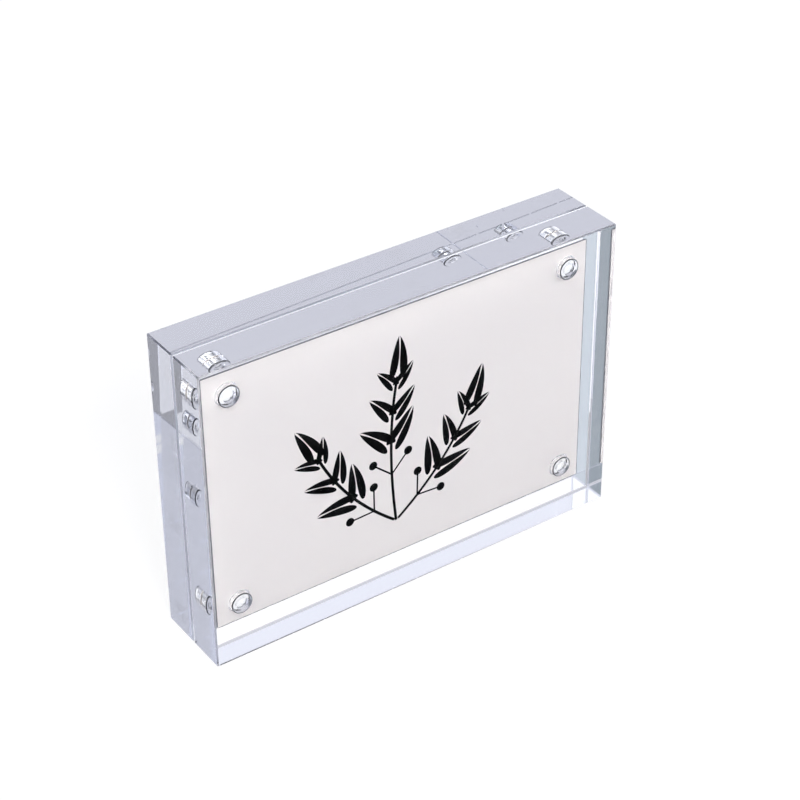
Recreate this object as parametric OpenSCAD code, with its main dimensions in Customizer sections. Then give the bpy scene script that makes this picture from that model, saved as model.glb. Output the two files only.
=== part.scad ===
// Free-standing magnetic frame: two thick clear blocks that close on a printed card.
// The frame stands on its long edge. +Z is up, the front looks towards -Y and the width runs along X.
// The origin is under the middle of the closed frame, on the surface it stands on. Millimetres.

/* [Blocks] */
// Width of both blocks
block_w = 127; // [90:1:220]
// Height of both blocks
block_h = 89; // [60:1:170]
// Thickness of the front block
front_t = 12; // [9:0.5:20]
// Thickness of the rear block
rear_t = 12; // [9:0.5:20]
// Width of the flat that breaks each polished edge, measured along the faces
arris = 0.35; // [0.1:0.05:1]

/* [Card] */
// Clear margin from each side of the card to the blocks' sides
card_side_margin = 4.3; // [1:0.1:20]
// Clear margin from the card's top and base to the blocks' top and base
card_end_margin = 6.2; // [1:0.1:20]
// Thickness of the card
card_t = 0.3; // [0.15:0.05:0.6]
// Corner radius of the card
card_corner_r = 0.6; // [0.2:0.1:4]
// Air between the card and each block
card_air = 0.1; // [0.05:0.05:0.3]

/* [Magnets] */
// Diameter of each disc magnet
magnet_d = 6; // [4:0.5:10]
// Thickness of each disc magnet
magnet_t = 2; // [1:0.5:2.5]
// Radius of each magnet's tumbled edge
magnet_edge_r = 0.3; // [0.1:0.05:0.6]
// How far each magnet sits below its block's inner face
magnet_sink = 0.1; // [0:0.05:0.3]
// Distance from each side of a block to its magnets' centres
magnet_side_inset = 11.2; // [9:0.1:20]
// Distance from the top and the base to the magnets' centres
magnet_end_inset = 12.5; // [9:0.5:20]

/* [Magnet pockets] */
// Radial gap round a magnet in its pocket
pocket_gap = 0.1; // [0.05:0.05:0.3]
// Depth of each pocket, drilled from the block's inner face
pocket_depth = 3; // [3:0.5:7]
// Width of the flat that breaks each pocket's mouth
pocket_mouth = 0.25; // [0.1:0.05:0.5]
// Radius in the corner where a pocket's wall meets its blind end
pocket_corner_r = 0.5; // [0.1:0.1:1]
// Diameter of the dimple that the drill's pilot point leaves in the blind end
dimple_d = 3.6; // [1:0.1:4]
// Depth of the dimple
dimple_depth = 0.8; // [0.2:0.1:1]

/* [Hidden] */
// Gap between the closed blocks
seam = card_t + 2 * card_air;
// Width and height of the card
card_w = block_w - 2 * card_side_margin;
card_h = block_h - 2 * card_end_margin;
// Radius of a pocket and of a magnet
pocket_r = magnet_d / 2 + pocket_gap;
magnet_r = magnet_d / 2;
// Places of the magnets' axes from the middle of the frame
magnet_x = block_w / 2 - magnet_side_inset;
magnet_z = block_h / 2 - magnet_end_inset;
// Radius of the shallow bowl that the dimple is a part of
dimple_bowl_r = (dimple_d * dimple_d / 4 + dimple_depth * dimple_depth) / (2 * dimple_depth);
// How far a cutting shape runs past the face that it cuts
overrun = 1;
// Smoothness of round forms
$fn = 96;

// One corner of the frame: which side it is on, and whether it is up or down
TOP_LEFT = [-1, 1];
TOP_RIGHT = [1, 1];
BOTTOM_LEFT = [-1, -1];
BOTTOM_RIGHT = [1, -1];
CORNERS = [TOP_LEFT, TOP_RIGHT, BOTTOM_LEFT, BOTTOM_RIGHT];

// A rectangle about the origin with its four corners cut at 45 degrees
module broken_rectangle(width, height, cut) {
    x = width / 2;
    y = height / 2;
    polygon([
        [-x + cut, -y], [x - cut, -y], [x, -y + cut], [x, y - cut],
        [x - cut, y], [-x + cut, y], [-x, y - cut], [-x, -y + cut]
    ]);
}

// A slab about the origin with all twelve edges broken by a narrow flat
module polished_slab(width, depth, height, cut) {
    intersection() {
        linear_extrude(height = height, center = true)
            broken_rectangle(width, depth, cut);
        rotate([90, 0, 0])
            linear_extrude(height = depth, center = true)
                broken_rectangle(width, height, cut);
        rotate([90, 0, 90])
            linear_extrude(height = width, center = true)
                broken_rectangle(depth, height, cut);
    }
}

// Half section of the drilled pocket, with its mouth on the origin and its depth along +Y
module pocket_section() {
    wall_end = pocket_depth - pocket_corner_r;
    floor_r = pocket_r - pocket_corner_r;
    polygon([
        [0, -overrun], [pocket_r + pocket_mouth + overrun, -overrun],
        [pocket_r, pocket_mouth], [pocket_r, wall_end], [0, wall_end]
    ]);
    square([floor_r, pocket_depth]);
    translate([floor_r, wall_end])
        circle(r = pocket_corner_r);
}

// The drilled pocket as a cutting shape: mouth on the origin, going down along +Z
module pocket_cut() {
    rotate_extrude()
        pocket_section();
    // The bowl-shaped dimple in the middle of the blind end
    rotate_extrude()
        intersection() {
            translate([0, pocket_depth + dimple_depth - dimple_bowl_r])
                circle(r = dimple_bowl_r);
            translate([0, pocket_depth - pocket_corner_r])
                square([dimple_d / 2, dimple_depth + pocket_corner_r]);
        }
}

// Half section of a disc magnet with rounded edges, its face on the X axis
module magnet_section() {
    flat_r = magnet_r - magnet_edge_r;
    square([flat_r, magnet_t]);
    translate([0, magnet_edge_r])
        square([magnet_r, magnet_t - 2 * magnet_edge_r]);
    translate([flat_r, magnet_edge_r])
        circle(r = magnet_edge_r);
    translate([flat_r, magnet_t - magnet_edge_r])
        circle(r = magnet_edge_r);
}

// Puts a child that is drawn down along +Z at a corner of the front block's inner face
module in_front_block(corner) {
    translate([corner[0] * magnet_x, -seam / 2, block_h / 2 + corner[1] * magnet_z])
        rotate([90, 0, 0])
            children();
}

// The same at the rear block's inner face
module in_rear_block(corner) {
    translate([corner[0] * magnet_x, seam / 2, block_h / 2 + corner[1] * magnet_z])
        rotate([-90, 0, 0])
            children();
}

// A disc magnet, its outer face at the sink depth
module disc_magnet() {
    color([0.8, 0.8, 0.79])
        translate([0, 0, magnet_sink])
            rotate_extrude()
                magnet_section();
}

// The clear block in front of the card
module front_block() {
    color([0.86, 0.89, 0.95, 0.4])
        difference() {
            translate([0, -(seam + front_t) / 2, block_h / 2])
                polished_slab(block_w, front_t, block_h, arris);
            for (corner = CORNERS)
                in_front_block(corner)
                    pocket_cut();
        }
}

// The clear block behind the card
module rear_block() {
    color([0.82, 0.86, 0.93, 0.4])
        difference() {
            translate([0, (seam + rear_t) / 2, block_h / 2])
                polished_slab(block_w, rear_t, block_h, arris);
            for (corner = CORNERS)
                in_rear_block(corner)
                    pocket_cut();
        }
}

// The card that the blocks hold by the pull of the magnets
module insert_card() {
    color([0.9, 0.89, 0.9])
        translate([0, card_t / 2, block_h / 2])
            rotate([90, 0, 0])
                linear_extrude(height = card_t) {
                    square([card_w - 2 * card_corner_r, card_h], center = true);
                    square([card_w, card_h - 2 * card_corner_r], center = true);
                    for (corner = CORNERS)
                        translate([
                            corner[0] * (card_w / 2 - card_corner_r),
                            corner[1] * (card_h / 2 - card_corner_r)
                        ])
                            circle(r = card_corner_r);
                }
}

module front_magnet_top_left() {
    in_front_block(TOP_LEFT)
        disc_magnet();
}

module front_magnet_top_right() {
    in_front_block(TOP_RIGHT)
        disc_magnet();
}

module front_magnet_bottom_left() {
    in_front_block(BOTTOM_LEFT)
        disc_magnet();
}

module front_magnet_bottom_right() {
    in_front_block(BOTTOM_RIGHT)
        disc_magnet();
}

module rear_magnet_top_left() {
    in_rear_block(TOP_LEFT)
        disc_magnet();
}

module rear_magnet_top_right() {
    in_rear_block(TOP_RIGHT)
        disc_magnet();
}

module rear_magnet_bottom_left() {
    in_rear_block(BOTTOM_LEFT)
        disc_magnet();
}

module rear_magnet_bottom_right() {
    in_rear_block(BOTTOM_RIGHT)
        disc_magnet();
}

front_block();
rear_block();
insert_card();
front_magnet_top_left();
front_magnet_top_right();
front_magnet_bottom_left();
front_magnet_bottom_right();
rear_magnet_top_left();
rear_magnet_top_right();
rear_magnet_bottom_left();
rear_magnet_bottom_right();
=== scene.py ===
# %% [markdown]
# A magnetic acrylic photo frame is two thick clear blocks that close on a card. Almost nothing of it is
# painted: what the eye sees is light that went through the blocks, bounced inside their polished faces and
# came out again. So this lesson is mostly about clear plastic: its index, its faint tint, its broken edges,
# and the room around it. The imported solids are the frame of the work. They are loaded first, and nothing
# moves them after that.

# %% Load the solids
import math

import bpy
from mathutils import Matrix, Vector


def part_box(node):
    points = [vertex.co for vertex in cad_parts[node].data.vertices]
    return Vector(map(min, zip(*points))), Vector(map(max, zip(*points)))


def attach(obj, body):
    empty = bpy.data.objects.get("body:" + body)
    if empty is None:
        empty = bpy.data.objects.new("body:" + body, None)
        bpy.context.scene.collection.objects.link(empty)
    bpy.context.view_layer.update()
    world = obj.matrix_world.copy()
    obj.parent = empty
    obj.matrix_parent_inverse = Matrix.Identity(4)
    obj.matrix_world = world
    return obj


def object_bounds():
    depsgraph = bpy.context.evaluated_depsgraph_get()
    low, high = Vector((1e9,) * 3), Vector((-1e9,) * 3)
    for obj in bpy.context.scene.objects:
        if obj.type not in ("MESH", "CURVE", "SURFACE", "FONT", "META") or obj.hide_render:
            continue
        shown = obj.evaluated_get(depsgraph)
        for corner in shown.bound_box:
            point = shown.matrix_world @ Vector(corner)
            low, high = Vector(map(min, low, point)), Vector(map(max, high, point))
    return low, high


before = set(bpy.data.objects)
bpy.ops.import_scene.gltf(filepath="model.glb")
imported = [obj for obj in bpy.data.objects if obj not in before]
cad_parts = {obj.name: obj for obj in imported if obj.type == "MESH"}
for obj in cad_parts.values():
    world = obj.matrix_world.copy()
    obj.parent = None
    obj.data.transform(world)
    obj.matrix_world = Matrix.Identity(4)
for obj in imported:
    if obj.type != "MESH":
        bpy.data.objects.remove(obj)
CAD_LOW, CAD_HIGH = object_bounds()
MM = 0.001

front_low, front_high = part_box("front_block")
card_low, card_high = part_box("insert_card")
FRAME_WIDTH = front_high.x - front_low.x
FRAME_HEIGHT = front_high.z - front_low.z
MID_HEIGHT = (front_high.z + front_low.z) / 2
print(f"frame {FRAME_WIDTH / MM:.1f} mm wide, {FRAME_HEIGHT / MM:.1f} mm high")

# %% [markdown]
# The photograph was taken from the left front, a little above. Its outline corners give the camera by
# fitting: how far it was turned and raised, how far away it stood and how long its lens was. The camera is
# then put together from those numbers, as a photographer would: walk round the object, go up, step back and
# aim.

# %% Camera
PHOTO_PIXELS = 800
CAMERA_AZIMUTH = math.radians(-34.63)
CAMERA_ELEVATION = math.radians(33.87)
CAMERA_ROLL = math.radians(-0.477)
CAMERA_DISTANCE = 0.56627
FOCAL_PIXELS = 2150.71
AIM_RIGHT = 2.013 * MM
AIM_UP = 5.752 * MM
SENSOR_WIDTH = 36.0
NEAREST_SEEN = 0.01
FARTHEST_SEEN = 50


def build_camera():
    back = Vector((
        math.sin(CAMERA_AZIMUTH) * math.cos(CAMERA_ELEVATION),
        -math.cos(CAMERA_AZIMUTH) * math.cos(CAMERA_ELEVATION),
        math.sin(CAMERA_ELEVATION),
    ))
    level_right = Vector((math.cos(CAMERA_AZIMUTH), math.sin(CAMERA_AZIMUTH), 0))
    level_up = back.cross(level_right)
    right = math.cos(CAMERA_ROLL) * level_right + math.sin(CAMERA_ROLL) * level_up
    up = math.cos(CAMERA_ROLL) * level_up - math.sin(CAMERA_ROLL) * level_right
    aim = Vector((0, 0, FRAME_HEIGHT / 2)) + AIM_RIGHT * right + AIM_UP * up
    data = bpy.data.cameras.new("photo_camera")
    data.sensor_width = SENSOR_WIDTH
    data.lens = SENSOR_WIDTH * FOCAL_PIXELS / PHOTO_PIXELS
    data.dof.use_dof = False
    data.clip_start = NEAREST_SEEN
    data.clip_end = FARTHEST_SEEN
    camera = bpy.data.objects.new("photo_camera", data)
    bpy.context.scene.collection.objects.link(camera)
    turn = Matrix((right, up, back)).transposed().to_4x4()
    camera.matrix_world = Matrix.Translation(aim + back * CAMERA_DISTANCE) @ turn
    return camera


bpy.context.scene.camera = build_camera()
print(f"lens {bpy.context.scene.camera.data.lens:.1f} mm, {CAMERA_DISTANCE:.2f} m away")

# %% [markdown]
# Colours are read from the photograph as sRGB hex values, and the renderer works in linear light, so one
# function turns the one into the other. The small functions after it each add one shader node with its
# settings and links, so every material below is a short list that reads from top to bottom.

# %% Colour and node helpers
WHITE = (1, 1, 1, 1)
BLACK = (0, 0, 0, 1)


def linear(hex_code):
    """An sRGB hex value as a linear colour."""
    channels = [int(hex_code[i:i + 2], 16) / 255 for i in (1, 3, 5)]
    return [c / 12.92 if c <= 0.04045 else ((c + 0.055) / 1.055) ** 2.4 for c in channels] + [1.0]


def add_node(tree, kind, settings=None, **inputs):
    """A node with its settings. Inputs i0, i1 and so on go by number, and all others by name."""
    node = tree.nodes.new(kind)
    for name, value in (settings or {}).items():
        setattr(node, name, value)
    for name, value in inputs.items():
        by_number = name[0] == "i" and name[1:].isdigit()
        socket = node.inputs[int(name[1:]) if by_number else name]
        if isinstance(value, bpy.types.NodeSocket):
            tree.links.new(value, socket)
        else:
            socket.default_value = value
    return node


def calc(tree, operation, first, second=0.0, third=None):
    """One sum, product or comparison of numbers or sockets."""
    inputs = {"i0": first, "i1": second}
    if third is not None:
        inputs["i2"] = third
    return add_node(tree, "ShaderNodeMath", {"operation": operation}, **inputs).outputs[0]


def between(tree, share, low, high):
    """A number that goes from low to high as the share goes from 0 to 1."""
    node = add_node(tree, "ShaderNodeMapRange", Value=share, **{"To Min": low, "To Max": high})
    return node.outputs["Result"]


def mixed(tree, share, colour, other):
    """A colour that goes from one to the other as the share goes from 0 to 1."""
    node = add_node(tree, "ShaderNodeMix", {"data_type": "RGBA"}, i0=share, i6=colour, i7=other)
    return node.outputs[2]


def noise(tree, spot, size, detail):
    """Noise with cells of about the given size, in metres."""
    return add_node(tree, "ShaderNodeTexNoise", Vector=spot, Scale=1 / size, Detail=detail).outputs["Fac"]


def relief(tree, height, strength, distance):
    node = add_node(tree, "ShaderNodeBump", Strength=strength, Distance=distance, Height=height)
    return node.outputs["Normal"]


def object_place(tree):
    """The place on the surface in object coordinates, as one vector and as its three numbers."""
    spot = add_node(tree, "ShaderNodeTexCoord").outputs["Object"]
    return spot, add_node(tree, "ShaderNodeSeparateXYZ", Vector=spot).outputs


def new_material(name):
    material = bpy.data.materials.new(name)
    material.use_nodes = True
    material.node_tree.nodes.clear()
    return material, material.node_tree


def principled(tree, inputs, **others):
    """The Principled surface and the material's output, with anything else that the output takes."""
    surface = add_node(tree, "ShaderNodeBsdfPrincipled", **inputs)
    add_node(tree, "ShaderNodeOutputMaterial", Surface=surface.outputs["BSDF"], **others)


def dress(node, material):
    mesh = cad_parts[node].data
    mesh.materials.clear()
    mesh.materials.append(material)


print(f"mid grey #808080 is {linear('#808080')[0]:.3f} in linear light")

# %% [markdown]
# The blocks are clear cast acrylic, sawn, then diamond polished on every edge. Cast acrylic has an index of
# 1.49. Here it is matched to the photograph: the inner edges of the blocks, seen through the front, lie
# where an index of 1.41 puts them. Long paths through the plastic pick up a faint blue grey, which is
# absorption in the volume and not a colour of the surface: the top face looks tinted because it is seen
# through more than 100 mm of it.
#
# Three places aren't plain polished plastic. The bores for the magnets are drilled, so their walls are satin,
# while their blind ends stay nearly clear. A dark ring in the corner of each blind end is painted shade: it
# draws the thin dark circle round each magnet. It is a coat with a dark tint, because a coat also darkens
# light that bounces back inside the plastic. The narrow flats that break the edges are satin, and their outer
# side is painted a little grey as painted shade, which draws the edges as fine grey lines. All three are
# masks in object coordinates on the one solid block.

# %% Masks for the acrylic
magnet_low, magnet_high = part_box("front_magnet_top_right")
MAGNET_X = (magnet_low.x + magnet_high.x) / 2
MAGNET_Z = (magnet_low.z + magnet_high.z) / 2 - MID_HEIGHT
BORE_RADIUS = (magnet_high.x - magnet_low.x) / 2 + 0.35 * MM
WALL_RADIUS = BORE_RADIUS - 0.75 * MM
RING_RADIUS = BORE_RADIUS - 0.52 * MM
BORE_REACH = 4.2 * MM
BLIND_END = 3.25 * MM
RING_DEPTH = BLIND_END - 0.45 * MM
STRAIGHT_FACE = 0.95


def bore_masks(tree, place):
    """1 inside a bore's reach, 1 on its wall, and 1 on the painted shade ring in its blind end's corner."""
    side = calc(tree, "SUBTRACT", calc(tree, "ABSOLUTE", place["X"]), MAGNET_X)
    rise = calc(tree, "ABSOLUTE", calc(tree, "SUBTRACT", place["Z"], MID_HEIGHT))
    rise = calc(tree, "SUBTRACT", rise, MAGNET_Z)
    from_axis = add_node(tree, "ShaderNodeCombineXYZ", X=side, Y=rise).outputs[0]
    length = add_node(tree, "ShaderNodeVectorMath", {"operation": "LENGTH"}, i0=from_axis)
    radius = length.outputs["Value"]
    depth = calc(tree, "ABSOLUTE", place["Y"])
    narrow = calc(tree, "LESS_THAN", radius, BORE_RADIUS)
    bore = calc(tree, "MULTIPLY", narrow, calc(tree, "LESS_THAN", depth, BORE_REACH))
    wall = calc(tree, "GREATER_THAN", radius, WALL_RADIUS)
    deep = calc(tree, "GREATER_THAN", depth, RING_DEPTH)
    ring = calc(tree, "MULTIPLY", calc(tree, "GREATER_THAN", radius, RING_RADIUS), deep)
    return bore, wall, calc(tree, "MULTIPLY", ring, bore)


def edge_mask(tree, bore):
    """1 on the slanted flats that break the edges, where they are seen from outside: satin, with painted grey
    shade.
    """
    face = add_node(tree, "ShaderNodeNewGeometry").outputs
    facing = add_node(tree, "ShaderNodeVectorMath", {"operation": "ABSOLUTE"}, i0=face["True Normal"])
    share = add_node(tree, "ShaderNodeSeparateXYZ", Vector=facing.outputs[0]).outputs
    largest = calc(tree, "MAXIMUM", calc(tree, "MAXIMUM", share["X"], share["Y"]), share["Z"])
    slanted = calc(tree, "LESS_THAN", largest, STRAIGHT_FACE)
    outside = calc(tree, "SUBTRACT", calc(tree, "SUBTRACT", slanted, bore), face["Backfacing"])
    return calc(tree, "MAXIMUM", outside, 0.0)


print(f"bore masks reach {BORE_RADIUS / MM:.2f} mm from the axis, rings start at {RING_DEPTH / MM:.2f} mm")

# %% Acrylic
ACRYLIC_INDEX = 1.41
ABSORPTION_PER_METRE = (2.0, 1.9, 1.5)
ABSORPTION_DENSITY = 4.0
BORE_ROUGHNESS = 0.22
BLIND_END_ROUGHNESS = 0.06
EDGE_ROUGHNESS = 0.3
# Painted shade: the grey on the outer side of the edge flats draws the edges as fine grey lines.
EDGE_SHADE_TONE = "#B9BCC4"
# Painted shade: the dark tint of the coat on the ring in each blind end's corner.
RING_SHADE_TONE = "#55565A"
RING_ROUGHNESS = 0.5
CAST_WAVE = 14 * MM
CAST_WAVE_STRENGTH = 0.02
CAST_WAVE_HEIGHT = 0.1 * MM


def acrylic(name):
    material, tree = new_material(name)
    spot, place = object_place(tree)
    bore, wall, ring = bore_masks(tree, place)
    edge = edge_mask(tree, bore)
    satin = calc(tree, "MULTIPLY", bore, between(tree, wall, BLIND_END_ROUGHNESS, BORE_ROUGHNESS))
    # Casting leaves a slow wave in the sheet, which bends the straight lines seen through it a little
    wave = noise(tree, spot, CAST_WAVE, 1.0)
    kept = [1 - a / ABSORPTION_DENSITY for a in ABSORPTION_PER_METRE]
    volume = add_node(tree, "ShaderNodeVolumeAbsorption", Color=(*kept, 1), Density=ABSORPTION_DENSITY)
    principled(tree, {
        # The grey on the edge flats is painted shade.
        "Base Color": mixed(tree, edge, WHITE, linear(EDGE_SHADE_TONE)),
        "Roughness": calc(tree, "MULTIPLY_ADD", edge, EDGE_ROUGHNESS, satin),
        "IOR": ACRYLIC_INDEX,
        "Transmission Weight": 1.0,
        # The coat on the ring is painted shade, the thin dark circle round each magnet.
        "Coat Weight": ring,
        "Coat Tint": linear(RING_SHADE_TONE),
        "Coat Roughness": RING_ROUGHNESS,
        "Normal": relief(tree, wave, CAST_WAVE_STRENGTH, CAST_WAVE_HEIGHT),
    }, Volume=volume.outputs["Volume"])
    return material


ACRYLIC = acrylic("cast_acrylic_polished")
for block in ("front_block", "rear_block"):
    dress(block, ACRYLIC)
print(f"acrylic on 2 blocks, index {ACRYLIC_INDEX}")

# %% [markdown]
# The magnets are small neodymium discs, nickel plated and tumbled, so they are bright but not quite a mirror.
# A fine noise in the roughness stands for the tumbling, and breaks up the highlight on each disc. The tone is
# a little lighter than nickel's own, because in the photograph the discs look nearly white.

# %% Nickel
NICKEL_GRAIN = 0.25 * MM
NICKEL_TONES = ("#F2F2F0", "#F8F8F6")
NICKEL_ROUGHNESS = (0.12, 0.24)


def nickel():
    material, tree = new_material("nickel_plate_tumbled")
    spot, _ = object_place(tree)
    grain = noise(tree, spot, NICKEL_GRAIN, 2.0)
    principled(tree, {
        "Base Color": mixed(tree, grain, *map(linear, NICKEL_TONES)),
        "Metallic": 1.0,
        "Roughness": between(tree, grain, *NICKEL_ROUGHNESS),
    })
    return material


NICKEL = nickel()
MAGNETS = [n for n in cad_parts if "_magnet_" in n]
for magnet in MAGNETS:
    dress(magnet, NICKEL)
print(f"nickel on {len(MAGNETS)} magnets")

# %% [markdown]
# The card is smooth uncoated board. Its colour is even, with the slight cloudiness of pulp a few millimetres
# across and a fine tooth that only a close look shows. A thin grey band along its border is painted shade,
# which draws a grey hairline all round it.

# %% Card
PULP_CLOUD = 6 * MM
BOARD_TONES = ("#F0EAE5", "#F3EEE9")
BOARD_ROUGHNESS = 0.75
BOARD_TOOTH = 0.3 * MM
TOOTH_STRENGTH = 0.15
TOOTH_HEIGHT = 0.02 * MM
# Painted shade: a thin grey band along the card's border, a hairline round its edge.
CUT_EDGE = 0.22 * MM
CUT_SHADE_TONE = "#77777C"


def board():
    material, tree = new_material("uncoated_board")
    spot, place = object_place(tree)
    cloud = mixed(tree, noise(tree, spot, PULP_CLOUD, 3.0), *map(linear, BOARD_TONES))
    middle = (card_low.z + card_high.z) / 2
    side = calc(tree, "SUBTRACT", card_high.x, calc(tree, "ABSOLUTE", place["X"]))
    rise = calc(tree, "ABSOLUTE", calc(tree, "SUBTRACT", place["Z"], middle))
    rise = calc(tree, "SUBTRACT", card_high.z - middle, rise)
    cut = calc(tree, "LESS_THAN", calc(tree, "MINIMUM", side, rise), CUT_EDGE)
    tooth = noise(tree, spot, BOARD_TOOTH, 2.0)
    principled(tree, {
        # The band at the border is painted shade.
        "Base Color": mixed(tree, cut, cloud, linear(CUT_SHADE_TONE)),
        "Roughness": BOARD_ROUGHNESS,
        "Normal": relief(tree, tooth, TOOTH_STRENGTH, TOOTH_HEIGHT),
    })
    return material


dress("insert_card", board())
print(f"card {(card_high.x - card_low.x) / MM:.1f} x {(card_high.z - card_low.z) / MM:.1f} mm")

# %% [markdown]
# The card is screen printed in one black ink. The print here is a plain botanical one: three sprigs that grow
# from one point, each with paired leaves that are split along the midrib, as in a lino cut, and a few
# berries. Ink stands about two hundredths of a millimetre proud of the board, so each sprig is a thin closed
# solid on it. Leaves and berries repeat along a stem, which is what Geometry Nodes are for: one tree draws a
# whole sprig from its three stem points and its sizes, and the same tree with other numbers draws the next.
# It is drawn lying flat and then stood up against the card.

# %% A leaf lobe and a berry, as nodes
INK_FOOT = 0.002 * MM
INK_DEPTH = 0.018 * MM
LOBE_POINTS = 28
LOBE_TAPER = 0.45
STALK_LENGTH_SHARE = 0.62
STALK_WIDTH_SHARE = 0.6
STALK_DEPTH_SHARE = 0.9


def leaf_lobe(tree, sizes, hand):
    """Half a leaf: a disc whose points are moved into a pointed lobe on one side of the midrib."""
    disc = add_node(
        tree, "GeometryNodeMeshCylinder", Vertices=LOBE_POINTS, Radius=1.0, Depth=sizes["Ink Depth"]
    )
    position = add_node(tree, "GeometryNodeInputPosition").outputs[0]
    place = add_node(tree, "ShaderNodeSeparateXYZ", Vector=position).outputs
    along = calc(tree, "MULTIPLY_ADD", place["X"], 0.5, 0.5)
    left = calc(tree, "SUBTRACT", 1.0, along)
    pointed = calc(tree, "POWER", calc(tree, "MAXIMUM", left, 0.0), LOBE_TAPER)
    across = calc(tree, "MULTIPLY_ADD", place["Y"], 0.5, 0.5)
    width = calc(tree, "MULTIPLY", calc(tree, "MULTIPLY", across, pointed), sizes["Leaf Width"])
    vein = calc(tree, "MULTIPLY", calc(tree, "MULTIPLY", left, 0.5), sizes["Vein Width"])
    off_rib = calc(tree, "MULTIPLY", calc(tree, "ADD", width, vein), hand)
    bend = calc(tree, "MULTIPLY", calc(tree, "MULTIPLY", along, along), sizes["Leaf Bend"])
    spot = add_node(
        tree, "ShaderNodeCombineXYZ", X=calc(tree, "MULTIPLY", along, sizes["Leaf Length"]),
        Y=calc(tree, "ADD", off_rib, bend), Z=place["Z"],
    )
    lobe = add_node(
        tree, "GeometryNodeSetPosition", Geometry=disc.outputs["Mesh"], Position=spot.outputs[0]
    )
    if hand > 0:
        return lobe.outputs["Geometry"]
    return add_node(tree, "GeometryNodeFlipFaces", Mesh=lobe.outputs["Geometry"]).outputs["Mesh"]


def joined(tree, parts):
    join = add_node(tree, "GeometryNodeJoinGeometry")
    for part in parts:
        tree.links.new(part, join.inputs[0])
    return join.outputs[0]


def moved_along(tree, part, distance):
    offset = add_node(tree, "ShaderNodeCombineXYZ", X=distance).outputs[0]
    return add_node(tree, "GeometryNodeTransform", Geometry=part, Translation=offset).outputs["Geometry"]


def berry(tree, sizes):
    """A berry on a short stalk that starts at the stem."""
    stalk_length = calc(tree, "MULTIPLY", sizes["Leaf Length"], STALK_LENGTH_SHARE)
    stalk_size = add_node(
        tree, "ShaderNodeCombineXYZ", X=stalk_length,
        Y=calc(tree, "MULTIPLY", sizes["Stem Width"], STALK_WIDTH_SHARE),
        Z=calc(tree, "MULTIPLY", sizes["Ink Depth"], STALK_DEPTH_SHARE),
    )
    stalk = add_node(tree, "GeometryNodeMeshCube", Size=stalk_size.outputs[0]).outputs["Mesh"]
    fruit = add_node(
        tree, "GeometryNodeMeshCylinder", Vertices=LOBE_POINTS, Radius=sizes["Berry Radius"],
        Depth=sizes["Ink Depth"],
    ).outputs["Mesh"]
    half_length = calc(tree, "MULTIPLY", stalk_length, 0.5)
    return joined(tree, [moved_along(tree, stalk, half_length), moved_along(tree, fruit, stalk_length)])


print(f"a leaf lobe has {LOBE_POINTS} points")

# %% The sprig tree
SPRIG_SIZES = {
    "Leaf Length": 12.5 * MM, "Leaf Width": 3.1 * MM, "Vein Width": 0.55 * MM, "Leaf Bend": 1.6 * MM,
    "Berry Radius": 1.3 * MM, "Stem Width": 0.85 * MM, "Ink Depth": INK_DEPTH,
    "Leaf Start": 0.4, "Berry Start": 0.2,
}
LEAF_END = 0.93
LEAF_TILT = 42
LEAF_JITTER = 0.07
BERRY_END = 0.95
BERRY_TILT = 46
BERRY_JITTER = 0.05
TIP_START = 0.985
SHRINK_AT_TIP = 0.66
STEM_STEPS = 40
STEM_TAPER = -0.5
STEM_DEPTH_SHARE = 1.06


def hung_along(tree, curve, part, first, last, count, tilt, jitter, seed):
    """Copies of a part along a stretch of the stem, turned off it by a tilt, smaller towards the tip."""
    stretch = add_node(tree, "GeometryNodeTrimCurve", Curve=curve, Start=first, End=last)
    points = add_node(tree, "GeometryNodeCurveToPoints", Curve=stretch.outputs["Curve"], Count=count)
    facing = add_node(
        tree, "FunctionNodeAlignRotationToVector", {"axis": "X", "pivot_axis": "Z"},
        Vector=points.outputs["Tangent"],
    )
    random_turn = add_node(
        tree, "FunctionNodeRandomValue", {"data_type": "FLOAT"}, i2=-jitter, i3=jitter, Seed=seed
    )
    turn = add_node(
        tree, "FunctionNodeAxisAngleToRotation", Axis=(0, 0, 1),
        Angle=calc(tree, "ADD", random_turn.outputs[1], math.radians(tilt)),
    )
    rotation = add_node(
        tree, "FunctionNodeRotateRotation", {"rotation_space": "LOCAL"},
        Rotation=facing.outputs[0], i1=turn.outputs[0],
    )
    index = add_node(tree, "GeometryNodeInputIndex").outputs[0]
    steps = calc(tree, "MAXIMUM", calc(tree, "SUBTRACT", count, 1.0), 1.0)
    size = calc(tree, "MULTIPLY_ADD", calc(tree, "DIVIDE", index, steps), SHRINK_AT_TIP - 1, 1.0)
    copies = add_node(
        tree, "GeometryNodeInstanceOnPoints", Points=points.outputs["Points"], Instance=part,
        Rotation=rotation.outputs[0], Scale=size,
    )
    return copies.outputs["Instances"]


def sprig_inputs(tree):
    """The tree's interface: stem points, sizes, and how many pairs of leaves."""
    for name in ("Stem Start", "Stem Middle", "Stem End"):
        tree.interface.new_socket(name, in_out="INPUT", socket_type="NodeSocketVector")
    for name, size in SPRIG_SIZES.items():
        socket = tree.interface.new_socket(name, in_out="INPUT", socket_type="NodeSocketFloat")
        socket.default_value = size
    for name, count in (("Leaf Pairs", 4), ("Seed", 1)):
        socket = tree.interface.new_socket(name, in_out="INPUT", socket_type="NodeSocketInt")
        socket.default_value = count
    tree.interface.new_socket("Geometry", in_out="OUTPUT", socket_type="NodeSocketGeometry")
    return add_node(tree, "NodeGroupInput").outputs


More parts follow.
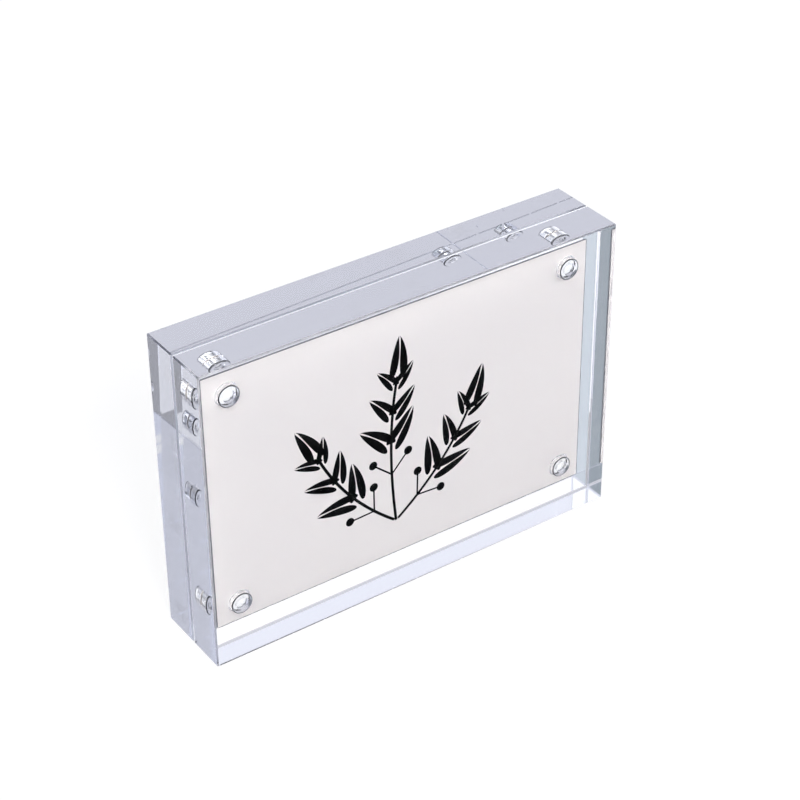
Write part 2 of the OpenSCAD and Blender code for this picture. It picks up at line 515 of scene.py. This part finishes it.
def stem_solid(tree, curve, given):
    """The stem, a flat bar of ink that narrows to half its width at the tip."""
    taper = add_node(tree, "GeometryNodeSplineParameter").outputs["Factor"]
    stem = add_node(
        tree, "GeometryNodeSetCurveRadius", Curve=curve,
        Radius=calc(tree, "MULTIPLY_ADD", taper, STEM_TAPER, 1.0),
    )
    section = add_node(
        tree, "GeometryNodeCurvePrimitiveQuadrilateral", {"mode": "RECTANGLE"},
        Width=given["Stem Width"], Height=calc(tree, "MULTIPLY", given["Ink Depth"], STEM_DEPTH_SHARE),
    )
    solid = add_node(
        tree, "GeometryNodeCurveToMesh", Curve=stem.outputs["Curve"],
        **{"Profile Curve": section.outputs["Curve"], "Fill Caps": True},
    )
    return solid.outputs["Mesh"]


def sprig_tree(ink):
    tree = bpy.data.node_groups.new("printed_sprig", "GeometryNodeTree")
    tree.is_modifier = True
    given = sprig_inputs(tree)
    seed = given["Seed"]
    line = add_node(
        tree, "GeometryNodeCurveQuadraticBezier", Resolution=STEM_STEPS,
        Start=given["Stem Start"], Middle=given["Stem Middle"], End=given["Stem End"],
    )
    curve = add_node(
        tree, "GeometryNodeSetCurveNormal", {"mode": "Z_UP"}, Curve=line.outputs["Curve"]
    ).outputs["Curve"]
    leaf = joined(tree, [leaf_lobe(tree, given, hand) for hand in (1, -1)])
    fruit = berry(tree, given)
    parts = []
    for hand in (1, -1):
        parts.append(hung_along(
            tree, curve, leaf, given["Leaf Start"], LEAF_END, given["Leaf Pairs"],
            hand * LEAF_TILT, LEAF_JITTER, seed,
        ))
        parts.append(hung_along(
            tree, curve, fruit, given["Berry Start"], BERRY_END, 1, hand * BERRY_TILT, BERRY_JITTER, seed
        ))
    parts.append(hung_along(tree, curve, leaf, TIP_START, 1.0, 1, 0, 0.0, seed))
    parts.append(stem_solid(tree, curve, given))
    solid = add_node(tree, "GeometryNodeRealizeInstances", Geometry=joined(tree, parts))
    inked = add_node(tree, "GeometryNodeSetMaterial", Geometry=solid.outputs["Geometry"], Material=ink)
    add_node(tree, "NodeGroupOutput", Geometry=inked.outputs["Geometry"])
    return tree


print(f"a sprig has {len(SPRIG_SIZES)} sizes, leaves tilted {LEAF_TILT} degrees off the stem")

# %% [markdown]
# Screen ink dries matt and slightly mottled. It mirrors hardly anything, which keeps the print black even
# where the plastic in front of it catches the light.

# %% Ink
INK_MOTTLE = 0.8 * MM
INK_TONES = ("#020202", "#0A0A0B")
INK_ROUGHNESS = (0.5, 0.68)
INK_MIRROR = 0.05


def screen_ink():
    material, tree = new_material("screen_ink_matt_black")
    spot, _ = object_place(tree)
    mottle = noise(tree, spot, INK_MOTTLE, 3.0)
    principled(tree, {
        "Base Color": mixed(tree, mottle, *map(linear, INK_TONES)),
        "Roughness": between(tree, mottle, *INK_ROUGHNESS),
        "Specular IOR Level": INK_MIRROR,
    })
    return material


SPRIG_TREE = sprig_tree(screen_ink())
print(f"ink mottled every {INK_MOTTLE / MM:.1f} mm")

# %% Three sprigs on the card
PRINT_X = -2.9 * MM
PRINT_Z = 43.9 * MM
SPRIGS = {
    "printed_sprig_middle": {
        "Stem Start": (0.0, -27, 0), "Stem Middle": (-3.0, 0, 0), "Stem End": (1.0, 18.5, 0),
        "Leaf Start": 0.53, "Berry Start": 0.34, "Leaf Pairs": 3, "Seed": 4,
    },
    "printed_sprig_left": {
        "Stem Start": (-0.6, -26.6, 0), "Stem Middle": (-16.5, -14, 0), "Stem End": (-24, 3.0, 0),
        "Leaf Start": 0.42, "Berry Start": 0.22, "Leaf Pairs": 3, "Seed": 9,
    },
    "printed_sprig_right": {
        "Stem Start": (0.6, -26.6, 0), "Stem Middle": (16.5, -15, 0), "Stem End": (24.3, 1.0, 0),
        "Leaf Start": 0.42, "Berry Start": 0.22, "Leaf Pairs": 3, "Seed": 6,
    },
}


def print_sprig(name, numbers, tree):
    drawing = bpy.data.objects.new(name + "_drawing", bpy.data.meshes.new(name + "_drawing"))
    bpy.context.scene.collection.objects.link(drawing)
    maker = drawing.modifiers.new("sprig", "NODES")
    maker.node_group = tree
    for item in tree.interface.items_tree:
        if item.in_out == "INPUT" and item.name in numbers:
            value = numbers[item.name]
            maker[item.identifier] = [v * MM for v in value] if isinstance(value, tuple) else value
    drawn = drawing.evaluated_get(bpy.context.evaluated_depsgraph_get())
    mesh = bpy.data.meshes.new_from_object(drawn)
    bpy.data.objects.remove(drawing)
    mesh.name = name
    foot = card_low.y - INK_DEPTH / 2 + INK_FOOT
    stand_up = Matrix(((1, 0, 0, PRINT_X), (0, 0, -1, foot), (0, 1, 0, PRINT_Z), (0, 0, 0, 1)))
    mesh.transform(stand_up)
    piece = bpy.data.objects.new(name, mesh)
    bpy.context.scene.collection.objects.link(piece)
    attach(piece, "card")
    return piece


for sprig, numbers in SPRIGS.items():
    piece = print_sprig(sprig, numbers, SPRIG_TREE)
    heights = [v.co.y / MM for v in piece.data.vertices]
    count = len(piece.data.polygons)
    print(f"{sprig}: {count} faces, ink from {min(heights):.3f} to {max(heights):.3f} mm")

# %% [markdown]
# The room is a plain pale floor and soft studio light. A photographer lights clear plastic mostly by what
# stands around it, because the blocks show the room and hardly anything of their own. Two habits of that
# trade are used for the floor. It is overexposed to pure white for the camera, while the blocks still see
# its real light and shade. And a polarising filter takes its mirror images off the front block's two faces,
# so that the ink stays black: one comes straight off the front face, the other goes in, off the inner face
# and out again.

# %% Floor
FLOOR_SIZE = 6.0
FLOOR_GAP = 0.1 * MM
FLOOR_SHADE_KEPT = 0.12
PAPER = (0.9, 0.9, 0.9, 1)
COUNT_SLACK = 0.1


def stage_sheet(name, corners, material):
    mesh = bpy.data.meshes.new(name)
    mesh.from_pydata(corners, [], [tuple(range(len(corners)))])
    mesh.materials.append(material)
    sheet = bpy.data.objects.new(name, mesh)
    bpy.context.scene.collection.objects.link(sheet)
    return sheet


def taken_by_filter(tree):
    """1 for a ray that is a mirror image off the front block's outer or inner face, else 0."""
    path = add_node(tree, "ShaderNodeLightPath").outputs
    never_in = calc(tree, "SUBTRACT", 1.0, path["Is Transmission Ray"])
    off_outer = calc(tree, "MULTIPLY", path["Is Glossy Ray"], never_in)
    in_and_out = calc(tree, "COMPARE", path["Transmission Depth"], 2.0, COUNT_SLACK)
    one_mirror = calc(tree, "COMPARE", path["Glossy Depth"], 1.0, COUNT_SLACK)
    not_scattered = calc(tree, "LESS_THAN", path["Diffuse Depth"], 0.5)
    _, place = object_place(tree)
    in_front = calc(tree, "LESS_THAN", place["Y"], CAD_LOW.y)
    off_inner = calc(tree, "MULTIPLY", in_and_out, one_mirror)
    off_inner = calc(tree, "MULTIPLY", off_inner, not_scattered)
    off_inner = calc(tree, "MULTIPLY", off_inner, in_front)
    return calc(tree, "MAXIMUM", off_outer, off_inner)


def filtered(tree, shader):
    black = add_node(tree, "ShaderNodeEmission", Color=BLACK, Strength=0.0).outputs[0]
    return add_node(tree, "ShaderNodeMixShader", i0=taken_by_filter(tree), i1=shader, i2=black).outputs[0]


def studio_floor():
    material, tree = new_material("studio_floor")
    path = add_node(tree, "ShaderNodeLightPath")
    paper = add_node(tree, "ShaderNodeBsdfDiffuse", Color=PAPER).outputs[0]
    overexposed = add_node(tree, "ShaderNodeEmission", Color=WHITE, Strength=1.0).outputs[0]
    to_camera = calc(tree, "MULTIPLY", path.outputs["Is Camera Ray"], 1 - FLOOR_SHADE_KEPT)
    seen = add_node(tree, "ShaderNodeMixShader", i0=to_camera, i1=paper, i2=overexposed).outputs[0]
    add_node(tree, "ShaderNodeOutputMaterial", Surface=filtered(tree, seen))
    return material


floor_corners = [(x * FLOOR_SIZE / 2, y * FLOOR_SIZE / 2) for x, y in ((-1, -1), (1, -1), (1, 1), (-1, 1))]
stage_sheet("floor", [(x, y, CAD_LOW.z - FLOOR_GAP) for x, y in floor_corners], studio_floor())
print(f"floor {FLOOR_SIZE:.0f} m across, {FLOOR_GAP / MM:.1f} mm under the frame")

# %% [markdown]
# Small panels, cut to shape and lying where only the plastic shows them, glow with painted light and shade.
# Each one is a patch of the picture that the polished faces carry to the camera, and nothing else sees it.
# "foot" lies under the frame and paints the shade of the floor beneath it, which gives the top face its tone.
# The two "side" panels lie to the right: a lit one in front, and behind it a dark one that paints the frame's
# shadow, for the light and grey bands of the left face. "inner" and "outer" lie behind and paint the floor in
# the frame's shadow in two tones, for the two tones of the strip at the right edge. Four more hang behind the
# frame: the feet of those two strips, and two that glow as painted light, the bright corner under them and
# the sill that whitens the upper band along the base. Lying panels are given by X and Y in millimetres,
# hanging ones by X and Z.

# %% Panels of painted light and shade under, beside and behind the frame
INNER_STRIP_SHADE = (0.66, 0.73, 0.81)
OUTER_STRIP_SHADE = (0.32, 0.37, 0.42)
# Painted tones: the foot, the dark side panel and the two strips paint shade; the light side panel paints lit
# floor.
LYING_PANELS = {
    "foot": ((0.72, 0.725, 0.79), [(-63.3, -12.05), (63.3, -12.05), (63.3, 12.05), (-63.3, 12.05)]),
    "side_light": ((1.10, 1.10, 1.13), [(63.9, -44), (88, -44), (88, -1), (63.9, -1)]),
    "side_shadow": ((0.55, 0.55, 0.57), [(63.9, -1), (88, -1), (88, 44), (63.9, 44)]),
    "inner": (INNER_STRIP_SHADE, [(57.6, 12.4), (66, 12.4), (-28, 121), (-36.5, 121)]),
    "outer": (OUTER_STRIP_SHADE, [(48, 12.4), (57.6, 12.4), (-36.5, 121), (-46, 121)]),
}
# The strip feet carry the painted shade; corner and sill glow brighter than the floor, as painted light.
HANGING_PANELS = {
    "inner_foot": (INNER_STRIP_SHADE, [(-13.2, 84.5), (-13.2, 85.1), (-19.7, 92.6), (-19.7, 84.5)]),
    "outer_foot": (OUTER_STRIP_SHADE, [(-19.7, 84.5), (-19.7, 92.6), (-27.2, 101.2), (-27.2, 84.5)]),
    "corner": (
        (1.20, 1.24, 1.26),
        [(-13.2, 85.1), (-12.0, 85.1), (-12.0, 101.6), (-27.6, 101.6), (-19.7, 92.6)],
    ),
    "sill": ((1.20, 1.20, 1.20), [(-9.0, 84.5), (141.5, 84.5), (141.5, 92.9), (-9.0, 92.9)]),
}
HANGING_DEPTH = 102.25 * MM


def panel(name, radiance, corners):
    material, tree = new_material(name)
    # The panel glows with a painted tone of light or shade.
    glow = add_node(tree, "ShaderNodeEmission", Color=(*radiance, 1), Strength=1.0).outputs[0]
    add_node(tree, "ShaderNodeOutputMaterial", Surface=filtered(tree, glow))
    sheet = stage_sheet(name, corners, material)
    sheet.visible_camera = False
    sheet.visible_diffuse = False
    sheet.visible_glossy = False
    sheet.visible_shadow = False


for name, (radiance, corners) in LYING_PANELS.items():
    panel("panel_" + name, radiance, [(x * MM, y * MM, CAD_LOW.z - FLOOR_GAP / 2) for x, y in corners])
for name, (radiance, corners) in HANGING_PANELS.items():
    panel("panel_" + name, radiance, [(x * MM, HANGING_DEPTH, z * MM) for x, z in corners])
print(f"{len(LYING_PANELS)} lying and {len(HANGING_PANELS)} hanging panels")

# %% [markdown]
# The light is a bluish white sky with two faint soft lights in it, and one big softbox at the front, a little
# to the left. The light behind on the right is what the pale blue band along the base shows. The one at the
# front right warms the lower half of the left face. Clear plastic needs many bounces: a ray may run down a
# block in a dozen mirror steps before it comes out, and if it is cut short the plastic turns black.

# %% Light
SKY_COLOUR = (0.84, 0.87, 1.0)
SKY_STRENGTH = 0.945
SOFT_LIGHTS = {
    "behind_right": {"azimuth": 147, "elevation": 38, "colour": (0.15, 0.15, 0.145)},
    "front_right": {"azimuth": 35, "elevation": 34, "colour": (0.08, 0.062, 0.01)},
}
SOFT_EDGE = 40
SOFT_CORE = 16
KEY_SOFTBOX = {"azimuth": -15, "elevation": 37, "distance": 7.2, "size": 1.6, "power": 512}
BOUNCES = {"max_bounces": 40, "glossy_bounces": 32, "transmission_bounces": 40}


def direction(azimuth, elevation):
    turn, lift = math.radians(azimuth), math.radians(elevation)
    return Vector((math.sin(turn) * math.cos(lift), -math.cos(turn) * math.cos(lift), math.sin(lift)))


def softbox(name, azimuth, elevation, distance, size, power):
    data = bpy.data.lights.new(name, "AREA")
    data.shape = "SQUARE"
    data.size = size
    data.energy = power
    lamp = bpy.data.objects.new(name, data)
    bpy.context.scene.collection.objects.link(lamp)
    back = direction(azimuth, elevation)
    turn = back.to_track_quat("Z", "Y").to_matrix().to_4x4()
    lamp.matrix_world = Matrix.Translation(back * distance) @ turn


def scaled(tree, vector, factor):
    return add_node(tree, "ShaderNodeVectorMath", {"operation": "SCALE"}, i0=vector, Scale=factor).outputs[0]


def soft_light(tree, spot, azimuth, elevation, colour):
    """A round patch of sky that fades out towards its edge."""
    near = add_node(
        tree, "ShaderNodeVectorMath", {"operation": "DOT_PRODUCT"}, i0=spot, i1=direction(azimuth, elevation)
    )
    share = add_node(
        tree, "ShaderNodeMapRange", {"interpolation_type": "SMOOTHSTEP"}, Value=near.outputs["Value"],
        **{"From Min": math.cos(math.radians(SOFT_EDGE)), "From Max": math.cos(math.radians(SOFT_CORE))},
    )
    return scaled(tree, colour, share.outputs["Result"])


def build_sky():
    world = bpy.data.worlds.new("studio")
    bpy.context.scene.world = world
    world.use_nodes = True
    tree = world.node_tree
    tree.nodes.clear()
    spot = add_node(tree, "ShaderNodeTexCoord").outputs["Generated"]
    colour = scaled(tree, SKY_COLOUR, SKY_STRENGTH)
    for light in SOFT_LIGHTS.values():
        glow = soft_light(tree, spot, **light)
        colour = add_node(
            tree, "ShaderNodeVectorMath", {"operation": "ADD"}, i0=colour, i1=glow
        ).outputs[0]
    path = add_node(tree, "ShaderNodeLightPath")
    seen = add_node(tree, "ShaderNodeBackground", Color=WHITE, Strength=1.0)
    lights = add_node(tree, "ShaderNodeBackground", Color=colour, Strength=1.0)
    both = add_node(
        tree, "ShaderNodeMixShader",
        i0=path.outputs["Is Camera Ray"], i1=lights.outputs[0], i2=seen.outputs[0],
    )
    add_node(tree, "ShaderNodeOutputWorld", Surface=both.outputs[0])


build_sky()
softbox("key_softbox", **KEY_SOFTBOX)
scene = bpy.context.scene
scene.view_settings.view_transform = "Standard"
for kind, count in BOUNCES.items():
    setattr(scene.cycles, kind, count)
print(f"sky with {len(SOFT_LIGHTS)} soft lights, and a key softbox")

# %% [markdown]
# Last, the box of the solids as they were loaded is written down. The print lies within the closed frame, so
# the box of everything now would be the same.

# %% Sizes for the record, and the end
print("CAD box", [round(v / MM, 2) for v in (*CAD_LOW, *CAD_HIGH)])
